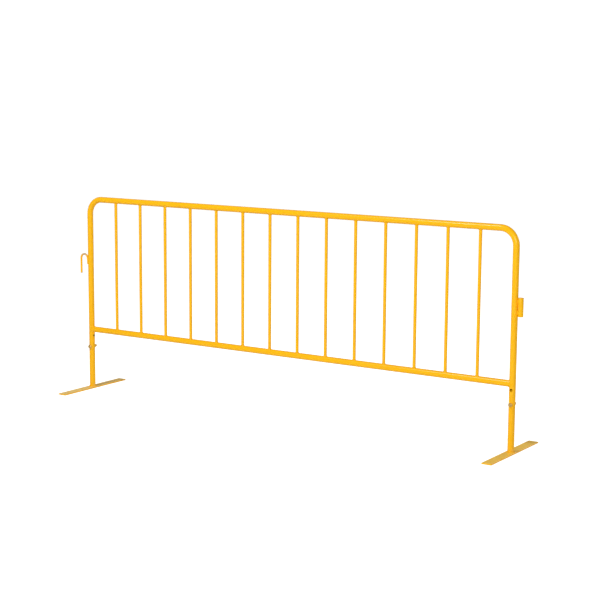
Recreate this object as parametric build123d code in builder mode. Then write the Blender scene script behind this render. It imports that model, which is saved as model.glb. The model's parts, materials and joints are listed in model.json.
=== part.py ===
"""Steel crowd control barrier: a bent tube frame with a bottom rail and vertical bars, a drop hook at
one end, a receiver sleeve at the other, and two flat feet whose spigots turn inside the uprights.

Frame: millimetres, +X along the panel towards the receiver sleeve, +Y across it, +Z up. The origin is
on the ground, under the middle of the whole barrier, hook and sleeve included.
"""

import math
import os

from build123d import *

# Overall size
frame_length = 2591.0  # outside of one upright to outside of the other
height = 1067.0  # ground to the top of the frame

# Tubes
frame_diameter = 31.75
frame_wall = 1.5
bar_diameter = 15.9
bar_wall = 1.2
bend_radius = 80.0  # of the frame tube's centre line
rail_height = 330.0  # ground to the bottom rail's centre line
rail_end_gap = 3.0  # the rail's coped lips stop this far short of the uprights' axes
bar_count = 14
bar_pitch = 168.7

# Lower end of each upright, and the foot that plugs into it
upright_end = 214.0  # height of the seam between upright and leg post
bolt_height = 233.0
bolt_hole_diameter = 11.0
vent_diameter = 14.0
left_vent_height = 295.0
right_vent_height = 302.0
seam_chamfer = 1.0
spigot_diameter = 28.1
spigot_wall = 2.0
spigot_above_seam = 66.0
spigot_below_seam = 50.0
slot_height = 11.0  # of the slots in the spigot that the bolt runs in
swivel_degrees = 90.0
foot_length = 508.0
foot_width = 50.8
foot_thickness = 6.35
foot_corner_radius = 2.0
foot_edge_break = 0.8

# Leg bolt, nut and washers, M10
bolt_diameter = 10.0
bolt_length = 55.0  # under the head
bolt_tip_chamfer = 1.0
hex_across_flats = 17.0
hex_corner_slope = 30.0  # degrees, of the cone that cuts a hexagon's corners
head_thickness = 6.4
nut_thickness = 8.0
washer_diameter = 20.0
washer_hole = 10.5
washer_thickness = 2.0

# Drop hook
hook_rod = 11.1
hook_offset = 69.0  # upright's axis to the drop leg's axis
hook_bend = 23.0  # centre-line radius of the arch
hook_lean = 5.0  # degrees that the inner leg leans towards the upright
hook_tip = 638.0
hook_root = 690.0  # lower end of the inner leg, where it is welded to the upright
hook_arch_centre = 722.0
hook_tip_chamfer = 1.0

# Receiver sleeve, welded on beside the other upright
sleeve_diameter = 25.4
sleeve_wall = 2.6
sleeve_bottom = 646.0
sleeve_length = 89.0
sleeve_gap = 2.0  # between the sleeve and the upright
sleeve_edge_break = 0.5
weld_width = 9.0
weld_height = 18.0
weld_inset = 9.0  # from each end of the sleeve to the nearer end of its weld

# Worked out from the driving dimensions
frame_radius = frame_diameter / 2
axis_span = frame_length - frame_diameter
top_height = height - frame_radius
sleeve_offset = frame_radius + sleeve_gap + sleeve_diameter / 2
hook_reach = hook_offset + hook_rod / 2
sleeve_reach = sleeve_offset + sleeve_diameter / 2
panel_centre = (hook_reach - sleeve_reach) / 2
left_x = panel_centre - axis_span / 2
right_x = panel_centre + axis_span / 2
first_bar_x = panel_centre - bar_pitch * (bar_count - 1) / 2
leg_wall = (frame_diameter - spigot_diameter) / 2
sleeve_x = right_x + sleeve_offset
cope_length = 4 * frame_diameter

# Rotations that lay a cylinder along an axis
along_z = (0, 0, 0)
along_x = (0, 90, 0)
along_y = (90, 0, 0)

os.makedirs("parts", exist_ok=True)


def save(piece, name):
    """Labels a finished piece and writes it as the node of that name."""
    piece.label = name
    export_step(piece, f"parts/{name}.step")


def ring(x, outer_diameter, wall):
    """Draws a tube's section, centred on X, in the open sketch."""
    with Locations((x, 0)):
        Circle(outer_diameter / 2)
        Circle(outer_diameter / 2 - wall, mode=Mode.SUBTRACT)


def drill(x, z, diameter, length, rotation):
    """Cuts a round hole, or a cope, through the open part."""
    with Locations((x, 0, z)):
        Cylinder(diameter / 2, length, rotation=rotation, mode=Mode.SUBTRACT)


def cut_hexagon_corners(plane, thickness):
    """Cuts the corners of the far face of a hexagonal block that stands on a plane, with a cone."""
    flare = thickness / math.tan(math.radians(hex_corner_slope))
    with Locations(plane):
        Cone(
            hex_across_flats / 2 + flare,
            hex_across_flats / 2,
            thickness,
            align=(Align.CENTER, Align.CENTER, Align.MIN),
            mode=Mode.INTERSECT,
        )


# Frame tube: the top rail and both uprights, bent from one length
with BuildPart() as frame_tube:
    with BuildLine(Plane.XZ) as frame_path:
        FilletPolyline(
            (left_x, upright_end),
            (left_x, top_height),
            (right_x, top_height),
            (right_x, upright_end),
            radius=bend_radius,
        )
    with BuildSketch(Plane.XY.offset(upright_end)):
        ring(left_x, frame_diameter, frame_wall)
    sweep(path=frame_path.wire())
    lower_ends = frame_tube.faces().filter_by(Axis.Z).group_by(Axis.Z)[0]
    chamfer([face.outer_wire().edges()[0] for face in lower_ends], seam_chamfer)
    drill(left_x, bolt_height, bolt_hole_diameter, cope_length, along_y)
    drill(right_x, bolt_height, bolt_hole_diameter, cope_length, along_y)
    with Locations((left_x + frame_radius, 0, left_vent_height)):
        Cylinder(vent_diameter / 2, frame_radius, rotation=along_x, mode=Mode.SUBTRACT)
    with Locations((right_x, -frame_radius, right_vent_height)):
        Cylinder(vent_diameter / 2, frame_radius, rotation=along_y, mode=Mode.SUBTRACT)
save(frame_tube.part, "frame_tube")


# Bottom rail, coped between the uprights
with BuildPart() as bottom_rail:
    with BuildSketch(Plane.YZ.offset(left_x + rail_end_gap)):
        with Locations((0, rail_height)):
            Circle(frame_radius)
            Circle(frame_radius - frame_wall, mode=Mode.SUBTRACT)
    extrude(amount=axis_span - 2 * rail_end_gap)
    drill(left_x, rail_height, frame_diameter, cope_length, along_z)
    drill(right_x, rail_height, frame_diameter, cope_length, along_z)
save(bottom_rail.part, "bottom_rail")


# Vertical bars, coped onto the top rail and the bottom rail
for number in range(bar_count):
    bar_x = first_bar_x + number * bar_pitch
    with BuildPart() as bar:
        with BuildSketch(Plane.XY.offset(rail_height)):
            ring(bar_x, bar_diameter, bar_wall)
        extrude(amount=top_height - rail_height)
        drill(bar_x, rail_height, frame_diameter, cope_length, along_x)
        drill(bar_x, top_height, frame_diameter, cope_length, along_x)
    save(bar.part, f"bar_{number + 1:02d}")


# Drop hook: one bent rod, its inner leg let into the weld on the left upright's outer side
drop_x = left_x - hook_offset
lean = math.radians(hook_lean)
arch_end_x = drop_x + hook_bend + hook_bend * math.cos(lean)
arch_end_z = hook_arch_centre + hook_bend * math.sin(lean)
root_x = arch_end_x + (arch_end_z - hook_root) * math.tan(lean)

with BuildPart() as link_hook:
    with BuildLine(Plane.XZ) as hook_path:
        Line((drop_x, hook_tip), (drop_x, hook_arch_centre))
        CenterArc((drop_x + hook_bend, hook_arch_centre), hook_bend, hook_lean, 180 - hook_lean)
        Line((arch_end_x, arch_end_z), (root_x, hook_root))
    with BuildSketch(Plane.XY.offset(hook_tip)):
        with Locations((drop_x, 0)):
            Circle(hook_rod / 2)
    sweep(path=hook_path.wire())
    chamfer(link_hook.faces().sort_by(Axis.Z)[0].edges(), hook_tip_chamfer)
    drill(left_x, hook_root, frame_diameter, cope_length, along_z)
save(link_hook.part, "link_hook")


# Receiver sleeve, open at both ends
with BuildPart() as hook_sleeve:
    with BuildSketch(Plane.XY.offset(sleeve_bottom)):
        ring(sleeve_x, sleeve_diameter, sleeve_wall)
    extrude(amount=sleeve_length)
    chamfer(hook_sleeve.edges().filter_by(GeomType.CIRCLE), sleeve_edge_break)
save(hook_sleeve.part, "hook_sleeve")


# Welds that bridge the gap between the sleeve and the upright, one near each end of the sleeve
sleeve_middle = sleeve_bottom + sleeve_length / 2
weld_reach = sleeve_offset / 2
weld_heights = (
    sleeve_bottom + weld_inset + weld_height / 2,
    sleeve_bottom + sleeve_length - weld_inset - weld_height / 2,
)

with BuildPart() as sleeve_welds:
    with BuildSketch(Plane.YZ.offset(right_x + frame_radius - weld_reach / 2)):
        with Locations(*[(0, weld_z) for weld_z in weld_heights]):
            Rectangle(weld_width, weld_height)
    extrude(amount=weld_reach)
    drill(right_x, sleeve_middle, frame_diameter, 2 * sleeve_length, along_z)
    drill(sleeve_x, sleeve_middle, sleeve_diameter, 2 * sleeve_length, along_z)
save(sleeve_welds.part, "sleeve_welds")


# Feet: flat bar on the ground, leg post, and the spigot that is welded into the post
def make_foot(side, x):
    """Makes the three pieces of the foot under the upright at x."""
    with BuildPart() as foot_plate:
        with BuildSketch():
            with Locations((x, 0)):
                RectangleRounded(foot_width, foot_length, foot_corner_radius)
        extrude(amount=foot_thickness)
        chamfer(foot_plate.faces().sort_by(Axis.Z)[-1].edges(), foot_edge_break)
    save(foot_plate.part, f"{side}_foot_plate")

    with BuildPart() as leg_post:
        with BuildSketch(Plane.XY.offset(foot_thickness)):
            ring(x, frame_diameter, leg_wall)
        extrude(amount=upright_end - foot_thickness)
        top_face = leg_post.faces().sort_by(Axis.Z)[-1]
        chamfer(top_face.outer_wire().edges(), seam_chamfer)
    save(leg_post.part, f"{side}_leg_post")

    # The bolt runs in two slots, each a quarter turn long with a round hole at each end
    with BuildPart() as spigot:
        with BuildSketch(Plane.XY.offset(upright_end - spigot_below_seam)):
            ring(x, spigot_diameter, spigot_wall)
        extrude(amount=spigot_below_seam + spigot_above_seam)
        for slot_x in (x + spigot_diameter / 2, x - spigot_diameter / 2):
            with BuildSketch(Plane.XZ):
                with Locations((slot_x, bolt_height)):
                    Rectangle(3 * spigot_wall, slot_height)
            revolve(axis=Axis((x, 0, 0), (0, 0, 1)), revolution_arc=swivel_degrees, mode=Mode.SUBTRACT)
        drill(x, bolt_height, slot_height, frame_diameter, along_x)
        drill(x, bolt_height, slot_height, frame_diameter, along_y)
    save(spigot.part, f"{side}_spigot")


# Leg bolt: head and washer in front, washer and nut behind
def bolt_plane(x, y, direction):
    """Plane square to the bolt's axis, its normal along -Y or +Y."""
    return Plane(origin=(x, y, bolt_height), x_dir=(1, 0, 0), z_dir=(0, direction, 0))


def make_washer(name, x, inner_y):
    """Makes the washer that lies against the upright on the side of inner_y."""
    with BuildPart() as washer:
        with BuildSketch(bolt_plane(x, inner_y, math.copysign(1, inner_y))):
            Circle(washer_diameter / 2)
            Circle(washer_hole / 2, mode=Mode.SUBTRACT)
        extrude(amount=washer_thickness)
    save(washer.part, name)


def make_fasteners(side, x):
    """Makes the bolt, nut and two washers that hold the foot in the upright at x."""
    seat_y = frame_radius + washer_thickness
    make_washer(f"{side}_head_washer", x, -frame_radius)
    make_washer(f"{side}_nut_washer", x, frame_radius)

    head_plane = bolt_plane(x, -seat_y, -1)
    with BuildPart() as bolt:
        with BuildSketch(head_plane):
            RegularPolygon(hex_across_flats / 2, 6, major_radius=False)
        extrude(amount=head_thickness)
        cut_hexagon_corners(head_plane, head_thickness)
        with BuildSketch(bolt_plane(x, -seat_y, 1)):
            Circle(bolt_diameter / 2)
        extrude(amount=bolt_length)
        chamfer(bolt.faces().sort_by(Axis.Y)[-1].edges(), bolt_tip_chamfer)
    save(bolt.part, f"{side}_leg_bolt")

    nut_plane = bolt_plane(x, seat_y, 1)
    with BuildPart() as nut:
        with BuildSketch(nut_plane):
            RegularPolygon(hex_across_flats / 2, 6, major_radius=False)
        extrude(amount=nut_thickness)
        cut_hexagon_corners(nut_plane, nut_thickness)
        drill(x, bolt_height, bolt_diameter, cope_length, along_y)
    save(nut.part, f"{side}_leg_nut")


for side, upright_x in (("left", left_x), ("right", right_x)):
    make_foot(side, upright_x)
    make_fasteners(side, upright_x)
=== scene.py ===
"""Looks of the crowd control barrier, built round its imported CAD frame.

Metres, in the CAD model's own frame: +X along the panel towards the receiver sleeve, +Y across it and
away from the bolt heads, +Z up, the ground at Z = 0. Places are worked out from the frame's boxes, and a
size that no box gives is named beside the piece that uses it.
"""

import json
import math

import bmesh
import bpy
from mathutils import Matrix, Quaternion, Vector, noise


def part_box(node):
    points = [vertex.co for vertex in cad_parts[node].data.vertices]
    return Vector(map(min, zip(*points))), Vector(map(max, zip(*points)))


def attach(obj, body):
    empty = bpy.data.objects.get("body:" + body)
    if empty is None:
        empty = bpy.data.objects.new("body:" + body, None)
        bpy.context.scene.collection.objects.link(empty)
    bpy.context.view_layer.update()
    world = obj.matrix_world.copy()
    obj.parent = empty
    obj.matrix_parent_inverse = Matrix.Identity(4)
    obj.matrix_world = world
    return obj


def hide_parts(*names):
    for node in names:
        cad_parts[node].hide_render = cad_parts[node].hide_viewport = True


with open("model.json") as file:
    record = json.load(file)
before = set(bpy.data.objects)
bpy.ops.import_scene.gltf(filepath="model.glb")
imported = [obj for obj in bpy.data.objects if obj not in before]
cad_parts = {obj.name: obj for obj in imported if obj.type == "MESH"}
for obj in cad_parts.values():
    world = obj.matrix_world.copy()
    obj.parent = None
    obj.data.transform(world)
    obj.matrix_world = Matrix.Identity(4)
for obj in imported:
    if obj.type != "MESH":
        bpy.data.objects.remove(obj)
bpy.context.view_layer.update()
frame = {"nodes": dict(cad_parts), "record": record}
nodes = frame["nodes"]

MM = 0.001

# Paint
PAINT_GLOSS = (0.20, 0.28)  # roughness of clean paint, where it is glossiest and dullest
PAINT_SPECULAR = 0.24
GRIME_TOP = 60 * MM  # height where the grime near the ground ends
GRIME_AMOUNT = 0.25

# Colours, linear
YELLOW = (0.95, 0.485, 0.003)
YELLOW_DEEP = (0.89, 0.435, 0.002)
UNDERCOAT = (0.40, 0.33, 0.24)
BARE_STEEL = (0.42, 0.38, 0.31)
ZINC = (0.86, 0.57, 0.17)
ZINC_DULL = (0.56, 0.37, 0.13)
DRAWN_STEEL = (0.50, 0.50, 0.49)
OILED_STEEL = (0.33, 0.31, 0.28)
DUST = (0.52, 0.46, 0.36)
# Pale films on the foot plates' tops: partly dust, partly painted sheen that lightens the level faces
PALE_DUST_AND_SHEEN = (0.98, 0.80, 0.17)
GREY_DUST_AND_SHEEN = (0.92, 0.80, 0.36)
FLOOR = (0.90, 0.90, 0.90)
WHITE = (1.0, 1.0, 1.0)

# Camera, from the picture's viewing angle
AZIMUTH = math.radians(33.315)
ELEVATION = math.radians(8.738)
ROLL = math.radians(0.383)
DISTANCE = 7.574
LENS_MM = 90.5
AIM_RIGHT_OF_MIDDLE = 0.100
AIM_HEIGHT = 0.616

# Studio: how strongly the surround lights the barrier, and how bright the camera sees it and the floor
SURROUND_LIGHT = 0.32
SURROUND_SEEN = 1.1
FLOOR_SEEN = 0.75


# ---------------------------------------------------------------- places read from the frame

class Tube:
    """A round tube or rod: a point on its axis, the axis's direction and its outside radius."""

    def __init__(self, point, direction, radius):
        self.point = Vector(point)
        self.direction = Vector(direction).normalized()
        self.radius = radius

    def normal(self, place):
        """Outward normal of the surface nearest to a place."""
        offset = place - self.point
        return (offset - self.direction * offset.dot(self.direction)).normalized()

    def snap(self, place, proud=0.0):
        """The nearest point of the surface, or one that stands proud of it."""
        along = (place - self.point).dot(self.direction)
        return self.point + self.direction * along + self.normal(place) * (self.radius + proud)


class Slab:
    """A level face at a height."""

    def __init__(self, height):
        self.height = height

    def normal(self, place):
        return Vector((0, 0, 1))

    def snap(self, place, proud=0.0):
        return Vector((place.x, place.y, self.height + proud))


def middle(node):
    """Middle of a node's box."""
    low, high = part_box(node)
    return (low + high) / 2


def upright_tube(node):
    """The standing tube that fills a node's box across Y."""
    low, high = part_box(node)
    return Tube(middle(node), (0, 0, 1), (high.y - low.y) / 2)


left_leg = upright_tube("left_leg_post")
right_leg = upright_tube("right_leg_post")
bars = {name: upright_tube(name) for name in sorted(nodes) if name.startswith("bar_")}
sleeve = upright_tube("hook_sleeve")
rail_low, rail_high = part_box("bottom_rail")
bottom_rail = Tube(middle("bottom_rail"), (1, 0, 0), (rail_high.z - rail_low.z) / 2)
frame_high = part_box("frame_tube")[1]
top_rail = Tube((0, 0, frame_high.z - left_leg.radius), (1, 0, 0), left_leg.radius)
panel_middle = (left_leg.point.x + right_leg.point.x) / 2


# ---------------------------------------------------------------- materials

def add(tree, kind, inputs=None, **settings):
    """A new shader node. An input that is given a socket is linked to it, and any other is set."""
    node = tree.nodes.new(kind)
    for name, value in settings.items():
        setattr(node, name, value)
    for name, value in (inputs or {}).items():
        if isinstance(value, bpy.types.NodeSocket):
            tree.links.new(value, node.inputs[name])
        else:
            node.inputs[name].default_value = value
    return node


def rgba(colour):
    """A colour with the alpha that shader sockets want."""
    return (*colour, 1.0)


def object_point(tree):
    """Place on the piece, in the model's own metres."""
    return add(tree, "ShaderNodeTexCoord").outputs["Object"]


def noise_value(tree, scale, detail=2.0, roughness=0.5, stretch=(1, 1, 1), shift=0.0):
    """Noise from 0 to 1 in the model's own metres. Stretch scales the axes, shift moves the pattern."""
    mapping = add(
        tree,
        "ShaderNodeMapping",
        {"Vector": object_point(tree), "Scale": stretch, "Location": (shift, shift, shift)},
    )
    made = add(
        tree,
        "ShaderNodeTexNoise",
        {
            "Vector": mapping.outputs["Vector"],
            "Scale": scale,
            "Detail": detail,
            "Roughness": roughness,
        },
    )
    return made.outputs["Fac"]


def remap(tree, value, from_low, from_high, to_low=0.0, to_high=1.0):
    """Value carried from one range to another, smoothly, and held at the ends."""
    made = add(
        tree,
        "ShaderNodeMapRange",
        {
            "Value": value,
            "From Min": from_low,
            "From Max": from_high,
            "To Min": to_low,
            "To Max": to_high,
        },
        interpolation_type="SMOOTHSTEP",
    )
    return made.outputs["Result"]


def calculate(tree, operation, first, second):
    """Result of a sum on two values or sockets."""
    made = add(tree, "ShaderNodeMath", {0: first, 1: second}, operation=operation)
    return made.outputs["Value"]


def mix_colour(tree, factor, first, second):
    """Colour that goes from the first to the second as the factor goes from 0 to 1."""
    made = add(tree, "ShaderNodeMix", data_type="RGBA")
    sockets = {"Factor": factor, "A": first, "B": second}
    for name, value in sockets.items():
        target = [s for s in made.inputs if s.name == name and s.type in ("VALUE", "RGBA")]
        target = target[0] if name == "Factor" else [s for s in target if s.type == "RGBA"][0]
        if isinstance(value, bpy.types.NodeSocket):
            tree.links.new(value, target)
        else:
            target.default_value = value
    return [s for s in made.outputs if s.type == "RGBA"][0]


def bumps(tree, layers):
    """Bump nodes in a row, each (height, strength, distance in metres)."""
    normal = None
    for height, strength, distance in layers:
        inputs = {"Height": height, "Strength": strength, "Distance": distance}
        if normal is not None:
            inputs["Normal"] = normal
        normal = add(tree, "ShaderNodeBump", inputs).outputs["Normal"]
    return normal


def new_material(name):
    """A material and its empty node tree."""
    material = bpy.data.materials.new(name)
    material.use_nodes = True
    material.node_tree.nodes.clear()
    return material, material.node_tree


def finish_material(tree, inputs):
    """Principled shader with the given inputs, linked to the output."""
    shader = add(tree, "ShaderNodeBsdfPrincipled", inputs)
    output = add(tree, "ShaderNodeOutputMaterial")
    tree.links.new(shader.outputs["BSDF"], output.inputs["Surface"])


def height_mask(tree, low, high):
    """1 below the low height, 0 above the high one."""
    height = add(tree, "ShaderNodeSeparateXYZ", {"Vector": object_point(tree)}).outputs["Z"]
    return remap(tree, height, low, high, 1.0, 0.0)


def faces_up(tree):
    """1 on level faces that look up, 0 on upright ones."""
    normal = add(tree, "ShaderNodeNewGeometry").outputs["Normal"]
    rise = add(tree, "ShaderNodeSeparateXYZ", {"Vector": normal}).outputs["Z"]
    return remap(tree, rise, 0.75, 0.98)


def clouded_yellow(tree, shift):
    """The paint's own colour: soft clouds and fine flecks."""
    cloud = remap(tree, noise_value(tree, 5.0, 4.0, 0.6, shift=shift), 0.3, 0.7)
    fleck = remap(tree, noise_value(tree, 1600.0, 1.0, shift=shift), 0.35, 0.75, 0.0, 0.22)
    shade = calculate(tree, "MAXIMUM", calculate(tree, "MULTIPLY", cloud, 0.45), fleck)
    return mix_colour(tree, shade, rgba(YELLOW), rgba(YELLOW_DEEP))


def dirtied_and_sheened(tree, colour, shift, dust_and_sheen):
    """The colour with grime near the ground, and with a pale film on level faces that look up, partly
    dust and partly painted sheen that lightens those faces; and how thickly grime and film lie.
    """
    grime = noise_value(tree, 38.0, 5.0, 0.7, shift=shift)
    grime = remap(tree, grime, 0.42, 0.78, 0.0, GRIME_AMOUNT)
    dirt = calculate(tree, "MULTIPLY", height_mask(tree, 0.0, GRIME_TOP), grime)
    colour = mix_colour(tree, dirt, colour, rgba(DUST))
    if dust_and_sheen is not None:
        # Painted sheen: a pale film, partly dust, lightens the faces that look up past the paint's own
        # colour
        amount, film_and_sheen_colour = dust_and_sheen
        film_and_sheen = remap(tree, noise_value(tree, 55.0, 6.0, 0.7, shift=shift), 0.3, 0.8, 0.35, 1.0)
        level = calculate(tree, "MULTIPLY", faces_up(tree), amount)
        film_and_sheen = calculate(tree, "MULTIPLY", film_and_sheen, level)
        colour = mix_colour(tree, film_and_sheen, colour, rgba(film_and_sheen_colour))
        dirt = calculate(tree, "ADD", dirt, calculate(tree, "MULTIPLY", film_and_sheen, 0.7))
    return colour, dirt


def paint_roughness(tree, shift, dirt):
    """Semi-gloss, duller where it is rubbed along the panel and where dirt lies."""
    rubs = noise_value(tree, 70.0, 3.0, 0.6, stretch=(0.25, 1.0, 1.0), shift=shift + 3.0)
    rubs = remap(tree, rubs, 0.60, 0.72, 0.0, 0.10)
    gloss = remap(tree, noise_value(tree, 24.0, 3.0, shift=shift), 0.3, 0.7, *PAINT_GLOSS)
    roughness = calculate(tree, "ADD", gloss, rubs)
    return calculate(tree, "ADD", roughness, calculate(tree, "MULTIPLY", dirt, 0.6))


def worn_through(tree, colour, roughness, worn):
    """Colour and roughness with bare steel where worn is high, and a rim of undercoat round it."""
    rim = remap(tree, worn, 0.15, 0.5)
    core = remap(tree, worn, 0.5, 0.7)
    colour = mix_colour(tree, calculate(tree, "MULTIPLY", rim, 0.35), colour, rgba(UNDERCOAT))
    colour = mix_colour(tree, core, colour, rgba(BARE_STEEL))
    return colour, calculate(tree, "ADD", roughness, calculate(tree, "MULTIPLY", core, 0.12))


def orange_peel(tree, shift):
    """Bumps of a powder coat: orange peel with finer pinholes."""
    peel = noise_value(tree, 520.0, 2.0, 0.45, shift=shift)
    pinholes = noise_value(tree, 2100.0, 1.0, shift=shift)
    return bumps(tree, [(peel, 0.30, 0.25 * MM), (pinholes, 0.08, 0.08 * MM)])


def powder_coat(name, shift, wear=None, dust_and_sheen=None):
    """Semi-gloss yellow powder coat. Shift moves its patterns. Wear adds a mask, given the tree, of
    where it is rubbed through. The last argument is how thickly a pale film lies on the faces that
    look up, with the film's colour: partly dust and partly painted sheen that lightens those faces."""
    material, tree = new_material(name)
    colour, dirt = dirtied_and_sheened(tree, clouded_yellow(tree, shift), shift, dust_and_sheen)
    roughness = paint_roughness(tree, shift, dirt)
    if wear is not None:
        colour, roughness = worn_through(tree, colour, roughness, wear(tree))
    finish_material(
        tree,
        {
            "Base Color": colour,
            "Roughness": roughness,
            "Normal": orange_peel(tree, shift),
            "Specular IOR Level": PAINT_SPECULAR,
        },
    )
    return material


def rubbed_ends(reaches):
    """Wear mask, up to 1 at each height of reaches and gone that height's reach away, broken up by
    noise."""

    def mask(tree):
        height = add(tree, "ShaderNodeSeparateXYZ", {"Vector": object_point(tree)}).outputs["Z"]
        total = None
        for end, reach in reaches.items():
            gap = calculate(tree, "ABSOLUTE", calculate(tree, "SUBTRACT", height, end), 0.0)
            near = remap(tree, gap, 0.0, reach, 1.0, 0.0)
            total = near if total is None else calculate(tree, "MAXIMUM", total, near)
        broken = remap(tree, noise_value(tree, 330.0, 8.0, 0.78), 0.28, 0.64)
        return calculate(tree, "MULTIPLY", total, broken)

    return mask


def rubbed_edges(node, reach):
    """Wear mask along a plate's upper edges, all round, broken up by noise."""
    low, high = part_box(node)
    centre = (low + high) / 2
    half = (high - low) / 2

    def mask(tree):
        parts = add(tree, "ShaderNodeSeparateXYZ", {"Vector": object_point(tree)}).outputs
        near = None
        for axis, where, size in (("X", centre.x, half.x), ("Y", centre.y, half.y)):
            off = calculate(tree, "SUBTRACT", parts[axis], where)
            off = calculate(tree, "ABSOLUTE", off, 0.0)
            edge = remap(tree, off, size - reach, size)
            near = edge if near is None else calculate(tree, "MAXIMUM", near, edge)
        broken = remap(tree, noise_value(tree, 150.0, 5.0, 0.7), 0.45, 0.85)
        return calculate(tree, "MULTIPLY", near, broken)

    return mask


def zinc_plate(name):
    """Yellow-passivated zinc: a dull gold metal, mottled, with a fine grain."""
    material, tree = new_material(name)
    mottle = remap(tree, noise_value(tree, 420.0, 5.0, 0.65), 0.3, 0.75)
    colour = mix_colour(tree, mottle, rgba(ZINC), rgba(ZINC_DULL))
    roughness = remap(tree, noise_value(tree, 900.0, 3.0), 0.3, 0.7, 0.30, 0.48)
    normal = bumps(tree, [(noise_value(tree, 1500.0, 3.0), 0.10, 0.05 * MM)])
    finish_material(
        tree,
        {"Base Color": colour, "Metallic": 1.0, "Roughness": roughness, "Normal": normal},
    )
    return material


def drawn_steel(name):
    """Bare drawn tube: fine lines along Z and a light oil stain."""
    material, tree = new_material(name)
    lines = noise_value(tree, 700.0, 3.0, stretch=(1, 1, 0.03))
    stain = remap(tree, noise_value(tree, 60.0, 4.0), 0.35, 0.75)
    colour = mix_colour(tree, stain, rgba(DRAWN_STEEL), rgba(OILED_STEEL))
    roughness = remap(tree, lines, 0.3, 0.7, 0.28, 0.45)
    normal = bumps(tree, [(lines, 0.12, 0.04 * MM)])
    finish_material(
        tree,
        {"Base Color": colour, "Metallic": 1.0, "Roughness": roughness, "Normal": normal},
    )
    return material


hook_low, hook_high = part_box("link_hook")
sleeve_low, sleeve_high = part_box("hook_sleeve")
materials = {
    "frame_paint": powder_coat("frame_powder_coat", 0.0),
    "bar_paint": powder_coat("bar_powder_coat", 5.0),
    "hook_paint": powder_coat(
        "hook_powder_coat", 9.0, rubbed_ends({hook_low.z: 10 * MM, hook_high.z: 26 * MM})
    ),
    "sleeve_paint": powder_coat(
        "sleeve_powder_coat", 13.0, rubbed_ends({sleeve_low.z: 1.6 * MM, sleeve_high.z: 1.6 * MM})
    ),
    "left_foot_paint": powder_coat(
        "left_foot_powder_coat",
        17.0,
        rubbed_edges("left_foot_plate", 1.4 * MM),
        # Pale film on the plate's top: partly dust, partly painted sheen
        dust_and_sheen=(0.85, GREY_DUST_AND_SHEEN),
    ),
    "right_foot_paint": powder_coat(
        "right_foot_powder_coat",
        21.0,
        rubbed_edges("right_foot_plate", 1.4 * MM),
        # Pale film on the plate's top: partly dust, partly painted sheen
        dust_and_sheen=(0.60, PALE_DUST_AND_SHEEN),
    ),
    "post_paint": powder_coat("post_powder_coat", 25.0),
    "spigot_steel": drawn_steel("spigot_drawn_steel"),
    "fastener_zinc": zinc_plate("fastener_zinc_plate"),
}


def node_finish(name):
    """The finish of a CAD node that stays."""
    if name.endswith("foot_plate"):
        return materials[name.replace("foot_plate", "foot_paint")]
    if name.endswith("leg_post"):
        return materials["post_paint"]
    slots = {part["node"]: part["material_slot"] for part in frame["record"]["subparts"]}
    return materials[slots[name]]


for name, node in nodes.items():
    for material_slot in node.material_slots:
        material_slot.material = node_finish(name)


# ---------------------------------------------------------------- mesh pieces

def new_piece(name, points, faces, material, body, slot):
    """A mesh piece that rides on a body and takes the finish it is given. The slot is not used."""
    mesh = bpy.data.meshes.new(name)
    mesh.from_pydata([tuple(point) for point in points], [], faces)
    mesh.validate()
    shell = bmesh.new()
    shell.from_mesh(mesh)
    bmesh.ops.recalc_face_normals(shell, faces=shell.faces)
    shell.to_mesh(mesh)
    shell.free()
    mesh.polygons.foreach_set("use_smooth", [True] * len(mesh.polygons))
    mesh.materials.append(material)
    piece = bpy.data.objects.new(name, mesh)
    bpy.context.scene.collection.objects.link(piece)
    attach(piece, body)
    return piece


def skin(rings, closed_path, first=0):
    """Faces that join rings of equal length one to the next. An open path gets a flat cap at each
    end."""
    size = len(rings[0])
    count = len(rings)
    faces = []
    for i in range(count if closed_path else count - 1):
        here = first + i * size
        there = first + (i + 1) % count * size
        for j in range(size):
            k = (j + 1) % size
            faces.append((here + j, here + k, there + k, there + j))
    if not closed_path:
        faces.append(tuple(first + j for j in reversed(range(size))))
        faces.append(tuple(first + (count - 1) * size + j for j in range(size)))
    return faces


# Welds
RIPPLE_PITCH = 1.6 * MM
RIPPLE_DEPTH = 0.040  # of the weld's leg
WANDER = 0.16  # how far a weld's size strays along its run
WANDER_LENGTH = 7 * MM
CROWN = 0.30  # how far a fillet's face stands out, of its leg
FACE_POINTS = 7  # across a weld's face
TOE_SINK = 0.12 * MM  # how far a weld's edges are let into the surfaces
ROOT_SINK = 0.35 * MM  # how far a fillet's root lies under the line where the surfaces meet
BAR_WELD_LEG = 2.5 * MM
RAIL_WELD_LEG = 3.6 * MM
FOOT_WELD_LEG = 4.6 * MM
RAIL_LIP_REACH = 3.0 * MM  # the rail's lips stop this far from the uprights' axes


def weld_size(leg, run, seed):
    """A weld's leg at a distance along its run: ripples on a slow wander."""
    ripple = RIPPLE_DEPTH * math.cos(2 * math.pi * run / RIPPLE_PITCH)
    wander = WANDER * noise.noise(Vector((run / WANDER_LENGTH, seed, 0.5)))
    return leg * (1 + ripple + wander)


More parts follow.
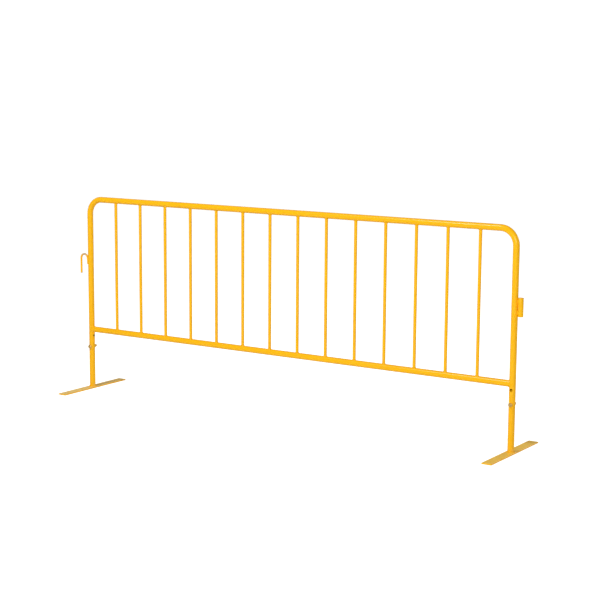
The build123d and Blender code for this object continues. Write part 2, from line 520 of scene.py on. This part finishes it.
def fillet_bead(path, surface_a, surface_b, leg, seed):
    """Rings of points of a closed fillet weld along the line where two surfaces meet. The seed picks
    how its size wanders."""
    count = len(path)
    length = sum((path[i] - path[i - 1]).length for i in range(count))
    ripples = max(1, round(length / RIPPLE_PITCH))
    scale = ripples * RIPPLE_PITCH / length
    run = 0.0
    rings = []
    side_a = side_b = None
    for i, place in enumerate(path):
        along = (path[(i + 1) % count] - path[i - 1]).normalized()
        normal_a = surface_a.normal(place)
        normal_b = surface_b.normal(place)
        across_a = along.cross(normal_a).normalized()
        across_b = along.cross(normal_b).normalized()
        if side_a is None:
            side_a = math.copysign(1, across_a.dot(normal_b))
            side_b = math.copysign(1, across_b.dot(normal_a))
        # The wander fades to nothing over the run's first and last tenths, so that the bead closes
        share = run / length
        fade = min(1.0, 10 * share, 10 * (1 - share))
        steady = leg * (1 + RIPPLE_DEPTH * math.cos(2 * math.pi * run * scale / RIPPLE_PITCH))
        size = steady + fade * (weld_size(leg, run * scale, seed) - steady)
        toe_a = surface_a.snap(place + across_a * side_a * size, -TOE_SINK)
        toe_b = surface_b.snap(place + across_b * side_b * size, -TOE_SINK)
        outward = (normal_a + normal_b).normalized()
        crown = outward * size * CROWN
        ring = [place - outward * ROOT_SINK]
        for j in range(FACE_POINTS):
            t = j / (FACE_POINTS - 1)
            ring.append(toe_a.lerp(toe_b, t) + crown * math.sin(math.pi * t) ** 1.4)
        rings.append(ring)
        run += (path[(i + 1) % count] - place).length
    return rings


def joined(runs, closed_path):
    """Points and faces of several welds as one mesh."""
    points = []
    faces = []
    for rings in runs:
        faces += skin(rings, closed_path, first=len(points))
        points += [point for ring in rings for point in ring]
    return points, faces


def bar_weld_path(bar, rail, side):
    """The line where a bar meets a rail, on the rail's upper side (1) or lower side (-1)."""
    steps = 132  # about 0.4 mm apart
    path = []
    for i in range(steps):
        turn = 2 * math.pi * i / steps
        x = bar.radius * math.cos(turn)
        y = bar.radius * math.sin(turn)
        rise = math.sqrt(rail.radius**2 - y**2)
        path.append(Vector((bar.point.x + x, y, rail.point.z + side * rise)))
    return path


def rail_weld_path(leg, side):
    """The line where the bottom rail meets an upright, on the upright's right (1) or left (-1)."""
    steps = 260  # about 0.4 mm apart
    path = []
    for i in range(steps):
        turn = 2 * math.pi * i / steps
        y = leg.radius * math.sin(turn)
        z = leg.radius * math.cos(turn)
        x = leg.point.x + side * math.hypot(z, RAIL_LIP_REACH)
        path.append(Vector((x, y, bottom_rail.point.z + z)))
    return path


def ring_path(leg, height):
    """A level circle round an upright tube."""
    steps = 250  # about 0.4 mm apart
    path = []
    for i in range(steps):
        turn = 2 * math.pi * i / steps
        path.append(leg.point + Vector((math.cos(turn), math.sin(turn), 0)) * leg.radius)
        path[-1].z = height
    return path


for number, (name, bar) in enumerate(bars.items()):
    beads = [
        fillet_bead(bar_weld_path(bar, top_rail, -1), bar, top_rail, BAR_WELD_LEG, number),
        fillet_bead(bar_weld_path(bar, bottom_rail, 1), bar, bottom_rail, BAR_WELD_LEG, number + 40),
    ]
    points, faces = joined(beads, closed_path=True)
    new_piece(name + "_welds", points, faces, materials["bar_paint"], "panel", "bar_paint")

for side_name, leg, side in (("left", left_leg, 1), ("right", right_leg, -1)):
    bead = fillet_bead(rail_weld_path(leg, side), bottom_rail, leg, RAIL_WELD_LEG, 80 + side)
    new_piece(
        f"{side_name}_rail_weld",
        *joined([bead], closed_path=True),
        materials["frame_paint"],
        "panel",
        "frame_paint",
    )
    plate_top = Slab(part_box(f"{side_name}_foot_plate")[1].z)
    foot_ring = ring_path(leg, plate_top.height)
    bead = fillet_bead(foot_ring, leg, plate_top, FOOT_WELD_LEG, 90 + side)
    new_piece(
        f"{side_name}_foot_weld",
        *joined([bead], closed_path=True),
        materials["post_paint"],
        f"{side_name}_foot",
        "foot_paint",
    )


# Welds that bridge two tubes side by side
BRIDGE_RING_PITCH = 0.4 * MM
BRIDGE_LEAST_HALF = 0.25 * MM  # half the width of a bridging weld where it is thinnest
BRIDGE_END_SHARE = 0.35  # how wide a bridging weld's ends are, of its middle
BRIDGE_HOLLOW = 0.16  # how far its face dips, of half its width
TUBE_SHARE = 0.93  # the most of a tube's diameter that a bridging weld covers


def bridge_weld(first, second, low, high, width, seed):
    """Rings of a weld that fills between two round tubes side by side, over a span of height. First and
    second give each tube's centre and radius at a height; width is across Y on the second tube."""
    steps = max(8, round((high - low) / BRIDGE_RING_PITCH))
    rings = []
    for i in range(steps + 1):
        share = i / steps
        height = low + (high - low) * share
        centre_a, radius_a = first(height)
        centre_b, radius_b = second(height)
        toward = (centre_b - centre_a).normalized()
        swell = math.sqrt(max(0.0, 1 - (2 * share - 1) ** 4))
        fullness = BRIDGE_END_SHARE + (1 - BRIDGE_END_SHARE) * swell
        half = max(BRIDGE_LEAST_HALF, weld_size(width / 2, height, seed) * fullness)
        half_a = min(half * 0.94, radius_a * TUBE_SHARE)
        half_b = min(half, radius_b * TUBE_SHARE)
        ring = []
        for flank in (1, -1):
            toe_a = centre_a + toward * math.sqrt(radius_a**2 - half_a**2)
            toe_b = centre_b - toward * math.sqrt(radius_b**2 - half_b**2)
            toe_a.y += flank * half_a
            toe_b.y += flank * half_b
            sink = toward * TOE_SINK
            face = []
            for j in range(FACE_POINTS):
                t = j / (FACE_POINTS - 1)
                place = (toe_a - sink).lerp(toe_b + sink, t)
                place.y -= flank * half * BRIDGE_HOLLOW * math.sin(math.pi * t)
                face.append(place)
            ring += face if flank == 1 else face[::-1]
        rings.append(ring)
    return rings


def standing(tube):
    """A tube's centre and radius at a height, for bridge_weld."""
    return lambda height: (Vector((tube.point.x, tube.point.y, height)), tube.radius)


SLEEVE_WELD_HEIGHT = 18 * MM
SLEEVE_WELD_WIDTH = 12 * MM
weld_low, weld_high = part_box("sleeve_welds")
weld_spans = (
    (weld_low.z, weld_low.z + SLEEVE_WELD_HEIGHT),
    (weld_high.z - SLEEVE_WELD_HEIGHT, weld_high.z),
)
sleeve_runs = [
    bridge_weld(standing(right_leg), standing(sleeve), low, high, SLEEVE_WELD_WIDTH, low * 100)
    for low, high in weld_spans
]
sleeve_weld = new_piece(
    "sleeve_weld_runs",
    *joined(sleeve_runs, closed_path=False),
    materials["sleeve_paint"],
    "panel",
    "sleeve_paint",
)
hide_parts("sleeve_welds")


# The hook's inner leg leans towards the upright, and its weld fills the gap that narrows downwards
HOOK_LEAN = math.radians(5.0)
HOOK_ROOT = 690 * MM
HOOK_ROOT_REACH = 4.23 * MM  # from the upright's surface to the rod's axis at the root
HOOK_WELD_BELOW = 1.5 * MM  # how far the weld runs on past the root
HOOK_WELD_TOP = 711 * MM
HOOK_WELD_WIDTH = 13 * MM
rod_radius = (hook_high.y - hook_low.y) / 2
root_x = left_leg.point.x - left_leg.radius - HOOK_ROOT_REACH


def leaning_rod(height):
    """Centre and radius of the hook's inner leg at a height, for bridge_weld."""
    x = root_x - (height - HOOK_ROOT) * math.tan(HOOK_LEAN)
    return Vector((x, 0, height)), rod_radius


hook_run = bridge_weld(
    leaning_rod,
    standing(left_leg),
    HOOK_ROOT - HOOK_WELD_BELOW,
    HOOK_WELD_TOP,
    HOOK_WELD_WIDTH,
    7.0,
)
new_piece(
    "hook_weld_run",
    *joined([hook_run], closed_path=False),
    materials["hook_paint"],
    "panel",
    "hook_paint",
)


# ---------------------------------------------------------------- leg bolts, M10

BOLT_DIAMETER = 10 * MM
NUT_BORE_RADIUS = 4.9 * MM  # just inside the thread's crests
WASHER_HOLE_RADIUS = 5.25 * MM
THREAD_PITCH = 1.5 * MM
THREAD_DEPTH = 0.92 * MM
THREAD_LENGTH = 26 * MM
THREAD_ROWS = 12  # in each turn of the thread
THREAD_PLAY = 0.04 * MM  # how far the shank and the crests stay inside the bolt's diameter
TIP_SLOPE = 1.2  # radius gained for each unit of length, from the bolt's end
WASHER_FACE = 0.35 * MM  # thickness of the round face under a bolt's head
NUT_COUNTERSINK = 0.55 * MM
WASHER_EDGE = 0.4 * MM  # radius that the punch leaves on a washer's rim
HEX_STEPS = 16  # around each of a hexagon's six sides
FACE_SHARE = 0.94  # of a hexagon's flats, the round face that its cut corners leave
CORNER_SLOPE = math.tan(math.radians(30))  # of the cone that cuts a hexagon's corners


def turned(profile_at, steps, closed_profile):
    """Points and faces of a shape round the Y axis. Profile_at gives the (radius, y) points of the
    section at an angle. An open profile gets a flat cap at each end."""
    columns = [profile_at(2 * math.pi * i / steps) for i in range(steps)]
    size = len(columns[0])
    points = []
    for i, column in enumerate(columns):
        turn = 2 * math.pi * i / steps
        points += [Vector((r * math.cos(turn), y, r * math.sin(turn))) for r, y in column]
    faces = []
    for i in range(steps):
        here = i * size
        there = (i + 1) % steps * size
        for j in range(size if closed_profile else size - 1):
            k = (j + 1) % size
            faces.append((here + j, here + k, there + k, there + j))
    if not closed_profile:
        faces.append(tuple(i * size for i in reversed(range(steps))))
        faces.append(tuple(i * size + size - 1 for i in range(steps)))
    return points, faces


def hex_radius(turn, flats):
    """Radius of a hexagon at an angle, with corners on X."""
    sector = math.radians(60)
    return flats / 2 / math.cos(turn % sector - sector / 2)


def cut_drop(radius, flats):
    """How far the cone that cuts the corners has fallen at a radius."""
    return max(0.0, radius - flats / 2 * FACE_SHARE) * CORNER_SLOPE


def thread_radius(turn, y, outer):
    """Radius of a right-hand thread: straight flanks, flat crests and narrower flat roots."""
    phase = (y / THREAD_PITCH + turn / (2 * math.pi)) % 1.0
    slope = (abs(phase - 0.5) - 0.07) / 0.36
    return outer - THREAD_DEPTH * min(1.0, max(0.0, slope))


def fastener(name, shape, place, node, spin=0.0):
    """A zinc piece made round the Y axis, turned about it, set on a bolt's axis, in a node's place."""
    points, faces = shape
    turned_by = Matrix.Rotation(spin, 3, "Y")
    points = [turned_by @ point + place for point in points]
    piece = new_piece(name, points, faces, materials["fastener_zinc"], "panel", "fastener_zinc")
    piece.data.set_sharp_from_angle(angle=math.radians(32))
    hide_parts(node)
    return piece


def bolt_shape(flats, head, diameter, length):
    """Hex bolt along +Y, its head behind Y = 0: dished head, washer face, plain shank, thread."""
    outer = diameter / 2
    face = flats / 2 * FACE_SHARE
    rows = []
    y = length - THREAD_LENGTH
    while y < length:
        rows.append(y)
        y += THREAD_PITCH / THREAD_ROWS
    rows.append(length)

    def section(turn):
        corner = hex_radius(turn, flats)
        drop = cut_drop(corner, flats)
        profile = [
            (face * 0.52, -head + 0.28 * MM),
            (face * 0.60, -head + 0.25 * MM),
            (face * 0.72, -head + 0.03 * MM),
            (face * 0.76, -head),
            (face, -head),
            (corner, -head + drop),
            (corner, -WASHER_FACE - 0.1 * MM),
            (corner - 0.12 * MM, -WASHER_FACE),
            (face, -WASHER_FACE),
            (face, 0.0),
            (outer + 0.5 * MM, 0.0),
            (outer + 0.1 * MM, 0.15 * MM),
            (outer - THREAD_PLAY, 0.5 * MM),
            (outer - THREAD_PLAY, length - THREAD_LENGTH - THREAD_PITCH),
        ]
        for y in rows:
            tip = outer - THREAD_DEPTH - 0.15 * MM + (length - y) * TIP_SLOPE
            lead = min(1.0, (y - length + THREAD_LENGTH) / THREAD_PITCH)
            cut = outer - thread_radius(turn, y, outer)
            profile.append((min(tip, outer - cut * lead - THREAD_PLAY), y))
        return profile

    return turned(section, HEX_STEPS * 6, closed_profile=False)


def nut_shape(flats, thickness, bore):
    """Hex nut on Y from 0, its corners cut on both faces, its bore countersunk."""
    sink = NUT_COUNTERSINK
    face = flats / 2 * FACE_SHARE

    def section(turn):
        corner = hex_radius(turn, flats)
        drop = cut_drop(corner, flats)
        return [
            (bore, sink),
            (bore + sink, 0.0),
            (face, 0.0),
            (corner, drop),
            (corner, thickness - drop),
            (face, thickness),
            (bore + sink, thickness),
            (bore, thickness - sink),
        ]

    return turned(section, HEX_STEPS * 6, closed_profile=True)


def washer_shape(inner, outer, thickness):
    """Stamped washer on Y from 0: its outer face rounded by the punch, its other face sharp."""
    bend = WASHER_EDGE
    profile = [(inner, 0.0), (outer, 0.0), (outer, thickness - bend)]
    for i in range(1, 5):
        turn = math.pi / 8 * i
        rim = outer - bend + bend * math.cos(turn)
        profile.append((rim, thickness - bend + bend * math.sin(turn)))
    profile += [(inner + bend / 2, thickness), (inner, thickness - bend / 2)]
    return turned(lambda turn: profile, 72, closed_profile=True)


def flipped(shape):
    """The same shape with its Y the other way round."""
    points, faces = shape
    return [Vector((p.x, -p.y, p.z)) for p in points], [face[::-1] for face in faces]


for side_name, spin in (("left", math.radians(11)), ("right", math.radians(-17))):
    bolt_low, bolt_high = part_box(f"{side_name}_leg_bolt")
    nut_low, nut_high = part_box(f"{side_name}_leg_nut")
    washer_low, washer_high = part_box(f"{side_name}_nut_washer")
    head_washer_low, head_washer_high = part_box(f"{side_name}_head_washer")
    flats = bolt_high.z - bolt_low.z
    axis = (bolt_low + bolt_high) / 2
    axis.y = 0
    head_seat = Vector((axis.x, head_washer_low.y, axis.z))
    shank = bolt_high.y - head_seat.y
    fastener(
        f"{side_name}_threaded_bolt",
        bolt_shape(flats, head_seat.y - bolt_low.y, BOLT_DIAMETER, shank),
        head_seat,
        f"{side_name}_leg_bolt",
        spin,
    )
    fastener(
        f"{side_name}_chamfered_nut",
        nut_shape(flats, nut_high.y - nut_low.y, NUT_BORE_RADIUS),
        Vector((axis.x, nut_low.y, axis.z)),
        f"{side_name}_leg_nut",
        spin * 1.9,
    )
    washer = washer_shape(
        WASHER_HOLE_RADIUS, (washer_high.z - washer_low.z) / 2, washer_high.y - washer_low.y
    )
    fastener(
        f"{side_name}_stamped_nut_washer",
        washer,
        Vector((axis.x, washer_low.y, axis.z)),
        f"{side_name}_nut_washer",
    )
    fastener(
        f"{side_name}_stamped_head_washer",
        flipped(washer),
        Vector((axis.x, head_washer_high.y, axis.z)),
        f"{side_name}_head_washer",
    )


# ---------------------------------------------------------------- stage, light and camera

def area_light(name, place, aim, size, power):
    """A white rectangular softbox at a place, turned to its aim. Power is in watts."""
    light = bpy.data.lights.new(name, "AREA")
    light.shape = "RECTANGLE"
    light.size, light.size_y = size
    light.energy = power
    lamp = bpy.data.objects.new(name, light)
    lamp.location = place
    lamp.rotation_mode = "QUATERNION"
    lamp.rotation_quaternion = (Vector(aim) - Vector(place)).to_track_quat("-Z", "Y")
    bpy.context.scene.collection.objects.link(lamp)


def camera_only(tree, unseen, seen):
    """One value for the camera and another for every other ray, so that a surface can look white
    without lighting the object that strongly."""
    is_camera = add(tree, "ShaderNodeLightPath").outputs["Is Camera Ray"]
    return remap(tree, is_camera, 0.0, 1.0, unseen, seen)


def make_floor():
    """A plain pale floor, lifted nearly to white as the camera sees it."""
    half = 40.0
    mesh = bpy.data.meshes.new("floor")
    corners = [(-half, -half, 0), (half, -half, 0), (half, half, 0), (-half, half, 0)]
    mesh.from_pydata(corners, [], [(0, 1, 2, 3)])
    floor = bpy.data.objects.new("floor", mesh)
    floor.location.z = -0.2 * MM
    bpy.context.scene.collection.objects.link(floor)
    material, tree = new_material("floor_pale")
    tone = remap(tree, noise_value(tree, 1.5, 3.0), 0.3, 0.7)
    colour = mix_colour(tree, tone, rgba(FLOOR), rgba([c * 0.985 for c in FLOOR]))
    finish_material(
        tree,
        {
            "Base Color": colour,
            "Roughness": 0.9,
            "Specular IOR Level": 0.1,
            "Emission Color": rgba(WHITE),
            "Emission Strength": camera_only(tree, 0.0, FLOOR_SEEN),
        },
    )
    mesh.materials.append(material)


def make_light():
    """A white surround, a large soft light beside the camera, a small one high in front that draws the
    highlight along the rails' right ends, and a large one low behind."""
    world = bpy.data.worlds.new("studio")
    bpy.context.scene.world = world
    world.use_nodes = True
    tree = world.node_tree
    tree.nodes.clear()
    background = add(
        tree,
        "ShaderNodeBackground",
        {"Color": rgba(WHITE), "Strength": camera_only(tree, SURROUND_LIGHT, SURROUND_SEEN)},
    )
    output = add(tree, "ShaderNodeOutputWorld")
    tree.links.new(background.outputs["Background"], output.inputs["Surface"])

    aim = (panel_middle, 0, 0.6)
    area_light("softbox_high_left", (-1.3, -3.2, 4.9), aim, (0.8, 0.5), 128)
    area_light("softbox_beside_camera", (4.0, -6.6, 2.6), aim, (3.0, 2.2), 268)
    area_light("softbox_behind", (3.2, 6.5, 2.3), aim, (4.0, 2.5), 120)


def make_camera():
    """Camera at the picture's angle, aimed at a point of the panel's plane near its middle."""
    camera = bpy.data.objects.new("camera", bpy.data.cameras.new("camera"))
    bpy.context.scene.collection.objects.link(camera)
    camera.data.lens = LENS_MM
    camera.data.sensor_width = 36.0
    back = Vector(
        (
            math.sin(AZIMUTH) * math.cos(ELEVATION),
            -math.cos(AZIMUTH) * math.cos(ELEVATION),
            math.sin(ELEVATION),
        )
    )
    aim = Vector((panel_middle + AIM_RIGHT_OF_MIDDLE, 0, AIM_HEIGHT))
    camera.location = aim + back * DISTANCE
    camera.rotation_mode = "QUATERNION"
    turn = (-back).to_track_quat("-Z", "Y")
    camera.rotation_quaternion = turn @ Quaternion((0, 0, 1), ROLL)
    bpy.context.scene.camera = camera


make_floor()
make_light()
make_camera()
bpy.context.scene.view_settings.view_transform = "Standard"
